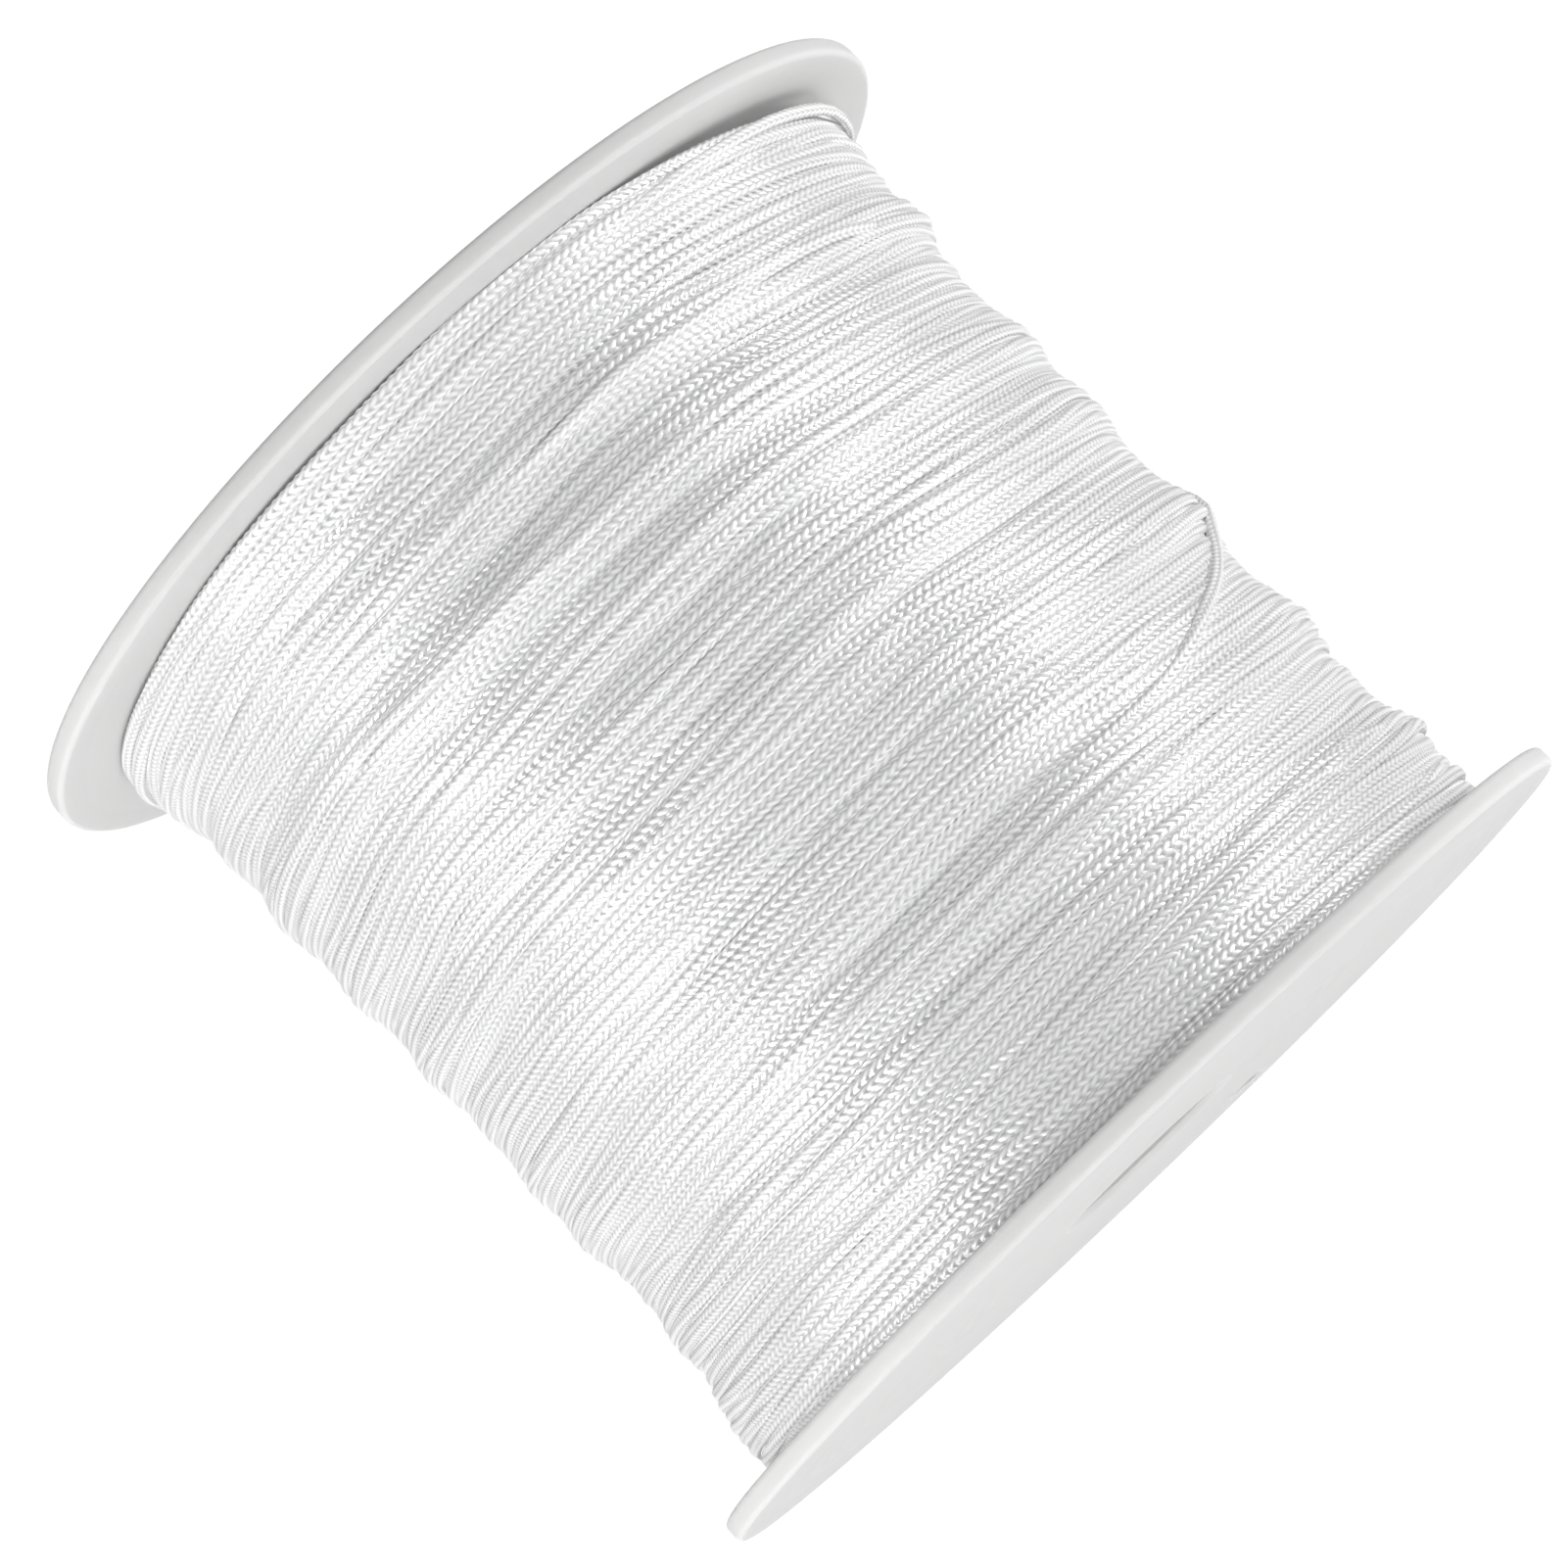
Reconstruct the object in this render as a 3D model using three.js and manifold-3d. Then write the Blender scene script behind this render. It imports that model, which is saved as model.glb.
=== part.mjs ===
// String reel: a moulded plastic spool, full of thin white braided cord.
// Millimetres, +Z up. The reel stands on its lower flange. Its axis is Z, and its origin is the
// middle of the face that it stands on.

import * as THREE from 'three';
import { mergeVertices } from 'three/addons/utils/BufferGeometryUtils.js';
import Module from 'manifold-3d';

const wasm = await Module();
wasm.setup();

// ---- Driving dimensions: the spool ----
const overallLength = 65.4; // over the outer faces of both flanges
const flangeDiameter = 72;
const flangeThickness = 1.5;
const rimRound = 0.4; // rounding of both corners of a flange's rim
const boreDiameter = 14; // for the spindle that the reel turns on
const boreChamfer = 0.4;
const barrelDiameter = 50;
const barrelWall = 1.5;
const spigotHeight = 5; // how far a flange plugs into the barrel
const spigotWall = 1.6;
const spigotClearance = 0.3; // on each side, between spigot and barrel
const startSlotWidth = 2.2; // the cord's first end passes through this slot
const startSlotLength = 6;
const startSlotTurn = 17.4; // degrees, from the back of the reel

// ---- Driving dimensions: the cord ----
const windingDepth = 6; // how thick the cord lies on the barrel
const turnCount = 24; // loops of the outer layer
const turnGap = 0.48; // between the flats of neighbouring loops
const woundGap = 0.3; // between the wound cord and what it lies on or beside
const windingTurn = 60; // degrees, where the outer layer begins and ends
const leadTurn = 32; // degrees over which a lead climbs out of the pack below
const strandDiameter = 0.8; // the cord's real diameter

// ---- Smoothness ----
const spoolSides = 96;
const packSides = 48;
const turnSteps = 24; // steps in one loop
const turnSides = 6;
const roundSteps = 3;
const slotEndSteps = 4;
const strandSteps = 18;
const strandSides = 8;
const cutMargin = 1;

// ---- Worked out from the sizes above ----
const flangeRadius = flangeDiameter / 2;
const boreRadius = boreDiameter / 2;
const barrelRadius = barrelDiameter / 2;
const windingRadius = barrelRadius + windingDepth;
const barrelLength = overallLength - 2 * flangeThickness;
const barrelBoreRadius = barrelRadius - barrelWall;
const spigotRadius = barrelBoreRadius - spigotClearance;
const packLength = barrelLength - 2 * woundGap;
const packBoreRadius = (barrelRadius + woundGap) / Math.cos(Math.PI / packSides);
const turnPitch = (packLength + turnGap) / (turnCount + 1);
const turnHeight = turnPitch - turnGap; // across the flats of the wound tube, along the axis
const turnDiameter = turnHeight / Math.cos(Math.PI / turnSides);
const turnRadius = windingRadius - turnDiameter / 2;
const halfStep = Math.PI / turnSteps;
const packRadius = turnRadius * Math.cos(halfStep) - turnDiameter / 2 - woundGap;
const firstTurnHeight = -packLength / 2 + turnHeight / 2;
const strandRadius = windingRadius + woundGap + strandDiameter / 2;

// ---- Materials ----
const spoolPlastic = new THREE.MeshStandardMaterial({ color: 0xe6e6e5, roughness: 0.45, metalness: 0 });
const barrelPlastic = new THREE.MeshStandardMaterial({ color: 0xdededd, roughness: 0.5, metalness: 0 });
const cordWhite = new THREE.MeshStandardMaterial({ color: 0xf4f4f4, roughness: 0.6, metalness: 0 });
const packWhite = new THREE.MeshStandardMaterial({ color: 0xe9e8e8, roughness: 0.7, metalness: 0 });

// ---- Helpers ----
const degrees = (angle) => (angle * Math.PI) / 180;

// Turns a closed profile of (radius, height) points round Z. Its points run anticlockwise.
function turned(profile, sides) {
  const closed = [...profile, profile[0]].map(([radius, height]) => new THREE.Vector2(radius, height));
  return new THREE.LatheGeometry(closed, sides).rotateX(Math.PI / 2);
}

// A rounded corner of a profile: points on a quarter circle from one angle to the next.
function roundedCorner(centreRadius, centreHeight, radius, fromAngle) {
  return Array.from({ length: roundSteps + 1 }, (_, i) => {
    const angle = fromAngle + (Math.PI / 2) * (i / roundSteps);
    return [centreRadius + radius * Math.cos(angle), centreHeight + radius * Math.sin(angle)];
  });
}

function toSolid(geometry) {
  const bare = geometry.clone();
  bare.deleteAttribute('normal');
  bare.deleteAttribute('uv');
  const merged = mergeVertices(bare, 1e-4);
  return new wasm.Manifold(
    new wasm.Mesh({
      numProp: 3,
      vertProperties: Float32Array.from(merged.attributes.position.array),
      triVerts: Uint32Array.from(merged.index.array),
    }),
  );
}

function toGeometry(solid) {
  const mesh = solid.getMesh();
  const geometry = new THREE.BufferGeometry();
  geometry.setAttribute('position', new THREE.BufferAttribute(mesh.vertProperties, 3));
  geometry.setIndex(new THREE.BufferAttribute(mesh.triVerts, 1));
  geometry.computeVertexNormals();
  return geometry;
}

function namedMesh(name, geometry, material) {
  const mesh = new THREE.Mesh(geometry, material);
  mesh.name = name;
  return mesh;
}

// ---- Flange: a thin disc with the spindle bore, a spigot that plugs into the barrel, and the
// slot for the cord's first end. Its outer face is at height 0 and its spigot points up. ----
function flangeDisc() {
  const spigotTop = flangeThickness + spigotHeight;
  return turned(
    [
      [boreRadius + boreChamfer, 0],
      ...roundedCorner(flangeRadius - rimRound, rimRound, rimRound, -Math.PI / 2),
      ...roundedCorner(flangeRadius - rimRound, flangeThickness - rimRound, rimRound, 0),
      [spigotRadius, flangeThickness],
      [spigotRadius, spigotTop],
      [spigotRadius - spigotWall, spigotTop],
      [spigotRadius - spigotWall, flangeThickness],
      [boreRadius, flangeThickness],
      [boreRadius, boreChamfer],
    ],
    spoolSides,
  );
}

// The slot is a stadium that runs outward from the barrel's wall.
function startSlot() {
  const endRadius = startSlotWidth / 2;
  const inner = barrelRadius + endRadius;
  const outer = barrelRadius + startSlotLength - endRadius;
  const outline = new THREE.Shape();
  outline.absarc(outer, 0, endRadius, -Math.PI / 2, Math.PI / 2, false);
  outline.absarc(inner, 0, endRadius, Math.PI / 2, 1.5 * Math.PI, false);
  outline.closePath();
  const depth = flangeThickness + 2 * cutMargin;
  const cutter = new THREE.ExtrudeGeometry(outline, { depth, bevelEnabled: false, curveSegments: slotEndSteps });
  return cutter.translate(0, 0, -cutMargin);
}

function flange(name) {
  const solid = toSolid(flangeDisc()).subtract(toSolid(startSlot()));
  return namedMesh(name, toGeometry(solid), spoolPlastic);
}

// ---- Barrel: a plain tube between the two flanges, centred on height 0 ----
function barrel() {
  const end = barrelLength / 2;
  const profile = [
    [barrelBoreRadius, -end],
    [barrelRadius, -end],
    [barrelRadius, end],
    [barrelBoreRadius, end],
  ];
  return namedMesh('barrel', turned(profile, spoolSides), barrelPlastic);
}

// ---- Cord pack: all the layers under the outer one, with the two leads where the outer layer
// comes out of it and goes back into it. A lead ends in a flat face, square to the wound cord. ----
function leadWedge(direction) {
  const faceDistance = turnDiameter + woundGap;
  const foot = packRadius * Math.cos(Math.PI / packSides);
  const outline = new THREE.Shape([
    new THREE.Vector2(foot - cutMargin, direction * faceDistance),
    new THREE.Vector2(windingRadius, direction * faceDistance),
    new THREE.Vector2(foot * Math.cos(degrees(leadTurn)), direction * foot * Math.sin(degrees(leadTurn))),
  ]);
  const depth = turnHeight - woundGap;
  const wedge = new THREE.ExtrudeGeometry(outline, { depth, bevelEnabled: false });
  return wedge.translate(0, 0, -direction * firstTurnHeight - depth / 2);
}

function cordPack() {
  const end = packLength / 2;
  const profile = [
    [packBoreRadius, -end],
    [packRadius, -end],
    [packRadius, end],
    [packBoreRadius, end],
  ];
  const pack = toSolid(turned(profile, packSides));
  const solid = pack.add(toSolid(leadWedge(-1))).add(toSolid(leadWedge(1)));
  return namedMesh('cord_pack', toGeometry(solid), packWhite);
}

// ---- Outer layer: one cord, wound side by side from flange to flange. Each end runs straight
// for one diameter up to its lead. ----
function windingStations() {
  const steps = turnCount * turnSteps;
  const stations = [];
  const addStation = (angle, height, straight) => {
    const outward = new THREE.Vector3(Math.cos(angle), Math.sin(angle), 0);
    const forward = new THREE.Vector3(-Math.sin(angle), Math.cos(angle), 0);
    const centre = outward.clone().multiplyScalar(turnRadius).addScaledVector(forward, straight);
    centre.z = height;
    stations.push({ centre, outward });
  };
  addStation(0, firstTurnHeight, -turnDiameter);
  for (let i = 0; i <= steps; i += 1) {
    addStation((i / turnSteps) * 2 * Math.PI, firstTurnHeight + (turnPitch * i) / turnSteps, 0);
  }
  addStation(0, -firstTurnHeight, turnDiameter);
  return stations;
}

// A closed tube through stations that each have a centre and an outward direction square to Z.
function tubeThrough(stations, radius, sides) {
  const up = new THREE.Vector3(0, 0, 1);
  const positions = [];
  const corners = [];
  for (const { centre, outward } of stations) {
    for (let side = 0; side < sides; side += 1) {
      const angle = (side / sides) * 2 * Math.PI;
      const point = centre
        .clone()
        .addScaledVector(outward, radius * Math.cos(angle))
        .addScaledVector(up, radius * Math.sin(angle));
      positions.push(point.x, point.y, point.z);
    }
  }
  for (let ring = 0; ring < stations.length - 1; ring += 1) {
    for (let side = 0; side < sides; side += 1) {
      const here = ring * sides + side;
      const beside = ring * sides + ((side + 1) % sides);
      corners.push(here, beside + sides, beside, here, here + sides, beside + sides);
    }
  }
  const lastRing = (stations.length - 1) * sides;
  for (let side = 1; side < sides - 1; side += 1) {
    corners.push(0, side, side + 1);
    corners.push(lastRing, lastRing + side + 1, lastRing + side);
  }
  const geometry = new THREE.BufferGeometry();
  geometry.setAttribute('position', new THREE.Float32BufferAttribute(positions, 3));
  geometry.setIndex(corners);
  geometry.computeVertexNormals();
  return geometry;
}

function cordOuterLayer() {
  const stations = windingStations();
  return namedMesh('cord_outer_layer', tubeThrough(stations, turnDiameter / 2, turnSides), cordWhite);
}

// The least gap between one loop and the next, measured on the tube's points.
function leastGap(geometry) {
  const points = geometry.attributes.position;
  const loop = turnSteps * turnSides;
  const here = new THREE.Vector3();
  const there = new THREE.Vector3();
  let least = Infinity;
  for (let i = 0; i < points.count; i += 1) {
    here.fromBufferAttribute(points, i);
    const first = i + loop / 2;
    const last = Math.min(points.count, i + loop + loop / 2);
    for (let j = first; j < last; j += 1) {
      least = Math.min(least, here.distanceTo(there.fromBufferAttribute(points, j)));
    }
  }
  return least;
}

// ---- Crossing strand: one slack stretch of the cord that lies over the other turns. Its points
// are chosen by hand: the direction in degrees round the axis, and how far up the barrel it is. ----
const strandRoute = [
  [176, 0.524],
  [181, 0.553],
  [186, 0.58],
  [192, 0.612],
  [202, 0.644],
  [213, 0.679],
  [222, 0.696],
  [230, 0.704],
  [238, 0.723],
  [245, 0.744],
];

function crossingStrand() {
  const points = strandRoute.map(([turn, share]) => {
    const angle = degrees(turn);
    const height = (share - 0.5) * barrelLength;
    return new THREE.Vector3(strandRadius * Math.cos(angle), strandRadius * Math.sin(angle), height);
  });
  const corners = Array.from({ length: strandSides }, (_, i) => {
    const angle = (i / strandSides) * 2 * Math.PI;
    return new THREE.Vector2(Math.cos(angle), Math.sin(angle)).multiplyScalar(strandDiameter / 2);
  });
  const geometry = new THREE.ExtrudeGeometry(new THREE.Shape(corners), {
    steps: strandSteps,
    extrudePath: new THREE.CatmullRomCurve3(points),
  });
  return namedMesh('crossing_strand', geometry, cordWhite);
}

// ---- The reel ----
const slotAngle = Math.PI / 2 + degrees(startSlotTurn);

const lowerFlange = flange('lower_flange');
lowerFlange.rotation.z = slotAngle;

const upperFlange = flange('upper_flange');
upperFlange.rotation.set(Math.PI, 0, slotAngle, 'ZYX');
upperFlange.position.z = overallLength;

const outerLayer = cordOuterLayer();
const wound = new THREE.Group();
wound.add(cordPack(), outerLayer);
wound.rotation.z = degrees(windingTurn);

const middle = new THREE.Group();
middle.add(barrel(), wound, crossingStrand());
middle.position.z = overallLength / 2;

const reel = new THREE.Group();
reel.add(lowerFlange, upperFlange, middle);

console.log(`outer layer: least gap to itself ${leastGap(outerLayer.geometry).toFixed(3)} mm`);

export default reel;
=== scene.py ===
"""A white moulded spool full of thin white braided cord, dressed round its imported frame.

Sizes are in millimetres, and turns round the reel's axis in degrees from +X. Values in metres or
radians say so, and a mesh gets its points in metres.
"""

import math

import bpy
import numpy as np
from mathutils import Matrix, Vector


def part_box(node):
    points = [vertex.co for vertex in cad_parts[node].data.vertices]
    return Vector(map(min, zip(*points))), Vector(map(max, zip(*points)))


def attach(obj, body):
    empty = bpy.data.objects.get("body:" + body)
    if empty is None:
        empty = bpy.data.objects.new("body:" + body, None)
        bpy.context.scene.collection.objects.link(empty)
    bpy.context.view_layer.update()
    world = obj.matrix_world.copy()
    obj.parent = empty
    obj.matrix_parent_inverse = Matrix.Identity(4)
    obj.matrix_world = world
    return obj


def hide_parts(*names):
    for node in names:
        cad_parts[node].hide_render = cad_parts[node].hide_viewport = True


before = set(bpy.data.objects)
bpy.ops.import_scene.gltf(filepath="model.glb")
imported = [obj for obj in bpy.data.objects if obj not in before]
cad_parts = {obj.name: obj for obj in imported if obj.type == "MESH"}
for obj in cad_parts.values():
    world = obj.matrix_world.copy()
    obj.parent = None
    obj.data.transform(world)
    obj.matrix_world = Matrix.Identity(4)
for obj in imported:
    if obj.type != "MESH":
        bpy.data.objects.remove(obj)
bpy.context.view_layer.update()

MM = 0.001  # metres in a millimetre

# ---- The spool ----
OVERALL_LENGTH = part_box("upper_flange")[1].z / MM
FLANGE_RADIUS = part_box("upper_flange")[1].x / MM
FLANGE_THICKNESS = 1.5
RIM_ROUND = 0.4
EDGE_ROUND = 0.25  # of the spigot's end and the bore's inner edge
FOOT_FILLET = 0.3  # where the spigot stands on the flange
BORE_RADIUS = 7.0
BORE_CHAMFER = 0.4
BARREL_RADIUS = 25.0
BARREL_LENGTH = OVERALL_LENGTH - 2 * FLANGE_THICKNESS
BARREL_WALL = 1.5
SPIGOT_RADIUS = 23.2
SPIGOT_WALL = 1.6
SPIGOT_HEIGHT = 5.0
SLOT_WIDTH = 2.2
SLOT_LENGTH = 6.0
SLOT_TURN = 107.4
SLOT_EDGE_ROUND = 0.12
SPOOL_SEGMENTS = 256
SHARP_EDGE = 35  # degrees between two faces, from which their edge isn't shaded smooth

# ---- The cord ----
CORD_DIAMETER = 0.8  # from one cord's middle to the next where they touch
CORD_WIDTH = 0.98  # across a cord that lies flattened, its edges pressed on those beside it
CORD_HEIGHT = 0.72  # the same cord, from the turns below to its top
CORD_SQUARENESS = 0.65  # power of the cosine that gives a flattened cord's height across it
CORNER_CROWDING = 0.5  # how much closer the corners of a cord's section lie on its outer side
BRAID_COLUMNS = 6  # columns of strands that lie on top, round the cord
BRAID_STRANDS = 5  # strands that run round the cord each way
BRAID_PITCH = 0.71  # from one strand to the next along a column
BRAID_WEAVE = 1.0  # how far a strand rises and dives, over its own height
STRAND_SHARPNESS = 2.0  # power of the cosine that gives a strand's height across it
STRAND_TILT = 0.07  # tilt along the cord of the strands of one way, and of the others back
BRAID_RELIEF = 0.14  # how far a bead stands out
CORD_UNEVENNESS = 0.5  # how far the cord's surface tilts along it, where it rises and sinks
STREAK_LENGTH = 5  # of a stretch of turns that rises or sinks together, over its height
BUNDLE_SHARE = 0.85  # of that tilt, for whole bundles of turns
SINGLE_SHARE = 0.7  # of that tilt, for each cord by itself
CORD_WAVE = 14  # along a cord, from one rise to the next
CORD_EDGE = CORD_DIAMETER / 2 + 0.05  # from a cord's middle to the flange beside it
TWIST_WAVES = ((700, 3.0), (190, 1.2), (60, 0.5), (23, 0.25))  # (length, how far it turns, in radians)

# ---- How finely cords are meshed, (sides, stations a braid) ----
TOP_MESH = (10, 4)
SECOND_MESH = (6, 0.5)
THIRD_MESH = (6, 0.3)
INNER_MESH = (4, 0.15)
CROSSING_MESH = (12, 6)

# ---- The winding ----
TURNS_IN_A_LAYER = 76
STATIONS = 180  # points of the route in one turn
STATION_TURN = np.arange(STATIONS) * 2 * math.pi / STATIONS  # in radians
WINDING_LOW = FLANGE_THICKNESS + CORD_EDGE
WINDING_HIGH = OVERALL_LENGTH - WINDING_LOW
BED_RADIUS = 28.4  # where the three outer layers lie on the layers below
INNER_LAYERS = 4  # hidden, between the barrel and the outer layers
TOP_PIECES = 9  # that the top layer is made of, end to end
WINDING_SEED = 3
BED_SEED = 103

# ---- How the outer turns are laid: they drift, and sway in bundles ----
DRIFT = {"waves": 12, "size": 0.5, "around": 1.7, "along": 21.0}
BUNDLE = (3, 8)  # fewest and most turns in a bundle
SWAY = 0.6
SWAY_LOBES = 7  # the most times that a bundle sways up and down in one turn
SWAY_FADE = 0.15  # how much weaker the sway is with each further lobe
HAND_OVER = 0.35  # turns before and after a bundle begins, in which its sway takes over
HELD_REACH = 5.0  # from a flange, the height over which it still holds the turns straight

# ---- How the outer turns settle ----
SETTLING_STEPS = 240
SETTLING_PULL = 0.03  # inwards in the first step, and less in each later one
LAYER_RISE = 0.9  # from a layer to the next as laid, over a cord's diameter
SORTING_STEPS = 3  # steps after which the turns are put in order of height again
NEIGHBOURS = 8  # turns above and below that can push a turn away
PUSH = 0.4  # share of their overlap by which each of two turns gives way in one step
STRAIGHTENING = 0.8  # how far a point moves to the middle between those before and after it

# ---- How the top layer closes up and evens out ----
GAP_KEPT = 0.6  # of what the gap between two turns differs from a cord's diameter
GAP_LIMITS = (0.6, 1.15)
CLOSING_ROUNDS = 6
EVENING = 0.65  # how far the top turns are drawn to the mean radius of the turns beside them
EVENING_REACH = 0.9  # up and down the reel, of that mean
SECOND_LAYER_BELOW = 0.30  # the turns of the second layer under the grooves between the top turns

# ---- The bed that the outer layers lie on ----
BED_STEPS_IN_A_MM = 10
RIDGES = {"waves": 14, "size": 0.45, "around": 1.2, "along": 5.8}
FULLER_BY = 0.4  # on the fuller side of the winding, and as much less on the other
FULLER_SIDE = 180
FLARE_REACH = 2.2  # from a flange, of the rise beside it
LOWER_FLARE = (1.1, 0.3, 2.6)  # mean rise, its swing round the reel, and where, in radians
UPPER_FLARE = (0.9, -0.4, 3.1)

# ---- Where the winding bulges at both sides of the picture, (height, how far) ----
BULGE_REACH = 1.7  # up and down the reel
BULGE_SPREAD = 4  # how fast the bulges give way to the ridges round the reel
BULGE_HEIGHT = 1.15  # times how far they bulge
BULGE_BASE = 0.35  # how far the bed sinks between them
BULGE_SIDES = {
    185: [
        (3.5, 1.5),
        (7.2, 0.9),
        (10.9, 1.0),
        (21.5, 0.85),
        (27.8, 0.8),
        (37.6, 0.95),
        (46.4, 0.7),
        (49.3, 0.45),
        (57.0, 1.0),
        (61.3, 0.7),
    ],
    355: [
        (3.6, 1.2),
        (6.4, 0.7),
        (10.7, 0.5),
        (17.0, 0.85),
        (23.5, 0.7),
        (30.9, 0.7),
        (35.2, 0.35),
        (40.4, 0.7),
        (44.8, 0.6),
        (54.2, 0.85),
        (58.6, 1.0),
        (62.0, 1.3),
    ],
}

# ---- The stretch that crosses the other turns, (turn, share of the way up the barrel) ----
CROSSING_ROUTE = [
    (150, 0.470),
    (158, 0.480),
    (167, 0.502),
    (176, 0.540),
    (181, 0.568),
    (186, 0.597),
    (192, 0.625),
    (200, 0.651),
    (208, 0.674),
    (216, 0.693),
    (222, 0.712),
    (226, 0.722),
    (230, 0.726),
    (240, 0.729),
    (250, 0.728),
    (260, 0.730),
    (268, 0.732),
]

# ---- How the crossing stretch lies ----
CROSSING_POINTS = 119
CROSSING_SMOOTHING = 30  # rounds that take the corners off its route
CROSSING_TIGHTENING = 20  # rounds that pull it straight over the turns under it
CROSSING_CONTACT = 0.42  # from its middle to that of a turn it presses on
CROSSING_SINKS = 0.12  # how far it sinks between the turns under it
CROSSING_DIVE = 1.15  # how far its ends go down between the other turns
CROSSING_DIVE_SHARE = 0.2  # of its length, at each end

# ---- The camera ----
CAMERA_PLACE = (0, -349.2, 80.4)
CAMERA_YAW = 0.07
CAMERA_PITCH = -7.94
CAMERA_ROLL = 136.16
CAMERA_LENS = 124.46
SENSOR_WIDTH = 36

# ---- The stage: lengths in metres, and radiances ----
WHITE = 1.02  # the floor and the surroundings as the camera sees them
FLOOR_LIGHT = 0.35  # the floor as it lights the reel
AMBIENT_LIGHT = 1.02  # the surroundings behind the reel as they light it
FRONT_LIGHT = 0.06  # the surroundings in front of it
FRONT_ENDS = -0.22  # where it grows from the one to the other, from -1 in front to 1 behind
BACK_BEGINS = 0.4
FLOOR_REACH = 3.0
FLOOR_DROP = 0.0002
SOFTBOX_AWAY = 0.6
SOFTBOXES = {  # turn and elevation in degrees, width, height and radiance
    "right_softbox": (325, 8, 0.22, 0.22, 19.5),
    "left_softbox": (203, 8, 0.22, 0.22, 17.5),
    "top_softbox": (270, 72, 0.5, 0.4, 2.4),
    "front_softbox": (270, 42, 0.12, 0.12, 5.5),
}


def make_camera():
    """The photograph's view: close, from a little above the level, and rolled about its line of sight."""
    data = bpy.data.cameras.new("camera")
    data.sensor_width = SENSOR_WIDTH
    data.lens = CAMERA_LENS
    data.clip_start = 0.01
    camera = bpy.data.objects.new("camera", data)
    bpy.context.scene.collection.objects.link(camera)
    yaw = Matrix.Rotation(math.radians(-CAMERA_YAW), 4, "Z")
    pitch = Matrix.Rotation(math.radians(90 + CAMERA_PITCH), 4, "X")
    roll = Matrix.Rotation(math.radians(CAMERA_ROLL), 4, "Z")
    camera.matrix_world = Matrix.Translation(Vector(CAMERA_PLACE) * MM) @ yaw @ pitch @ roll
    bpy.context.scene.camera = camera


make_camera()


# ---- Node trees: helpers ----
def add(tree, kind, feeds=None, **settings):
    """A new node, whose inputs take plain values or the outputs of other nodes."""
    made = tree.nodes.new(kind)
    for name, value in settings.items():
        setattr(made, name, value)
    for socket, value in (feeds or {}).items():
        if isinstance(value, bpy.types.NodeSocket):
            tree.links.new(value, made.inputs[socket])
        else:
            made.inputs[socket].default_value = value
    return made


def calc(tree, operation, *values):
    """The result of a Math node."""
    return add(tree, "ShaderNodeMath", dict(enumerate(values)), operation=operation).outputs[0]


def vector(tree, operation, *values):
    """The result of a Vector Math node: a number for a length, and otherwise a vector."""
    made = add(tree, "ShaderNodeVectorMath", dict(enumerate(values)), operation=operation)
    return made.outputs["Value" if operation == "LENGTH" else "Vector"]


def scaled(tree, value, factor):
    """A vector times a number."""
    made = add(tree, "ShaderNodeVectorMath", {0: value, "Scale": factor}, operation="SCALE")
    return made.outputs["Vector"]


def noise(tree, **feeds):
    """The value of a noise texture: over a Vector, or along a W."""
    dimensions = "1D" if "W" in feeds else "3D"
    return add(tree, "ShaderNodeTexNoise", feeds, noise_dimensions=dimensions).outputs[0]


def mapped(tree, value, low, high, to_low=0.0, to_high=1.0, **settings):
    """A value between low and high, brought between to_low and to_high and held there."""
    feeds = {"Value": value, "From Min": low, "From Max": high, "To Min": to_low, "To Max": to_high}
    return add(tree, "ShaderNodeMapRange", feeds, **settings).outputs[0]


def braid_height(tree, along, around):
    """A braid's surface: its height, from 0 in its clefts to 1 on its strands, and which strand is on top.

    along counts braids along the cord, and around goes from 0 to 1 round it. Half of the strands run
    round the cord one way and half the other. Each lies on top in every second column and dives under
    the others between, so that neighbouring columns lean towards each other. The second value is 1
    where a strand of the first half is on top, and otherwise -1.
    """
    over = calc(tree, "COSINE", calc(tree, "MULTIPLY", around, BRAID_COLUMNS * math.pi))
    over = calc(tree, "MULTIPLY", over, BRAID_WEAVE)
    lean = calc(tree, "MULTIPLY", around, BRAID_STRANDS)

    def strands(way, sign):
        across = calc(tree, "COSINE", calc(tree, "MULTIPLY", calc(tree, way, along, lean), math.pi))
        thick = calc(tree, "POWER", calc(tree, "ABSOLUTE", across), STRAND_SHARPNESS)
        return calc(tree, "MULTIPLY_ADD", over, sign, thick)

    first, second = strands("SUBTRACT", 1), strands("ADD", -1)
    height = calc(tree, "DIVIDE", calc(tree, "MAXIMUM", first, second), 1 + BRAID_WEAVE)
    return height, calc(tree, "SIGN", calc(tree, "SUBTRACT", first, second))


# ---- Materials ----
def shader_group(name, inputs, outputs):
    """An empty shader node group, with its own input and output nodes."""
    tree = bpy.data.node_groups.new(name, "ShaderNodeTree")
    for label, kind in inputs:
        tree.interface.new_socket(label, in_out="INPUT", socket_type=kind)
    for label, kind in outputs:
        tree.interface.new_socket(label, in_out="OUTPUT", socket_type=kind)
    return tree, tree.nodes.new("NodeGroupInput").outputs, tree.nodes.new("NodeGroupOutput")


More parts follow.
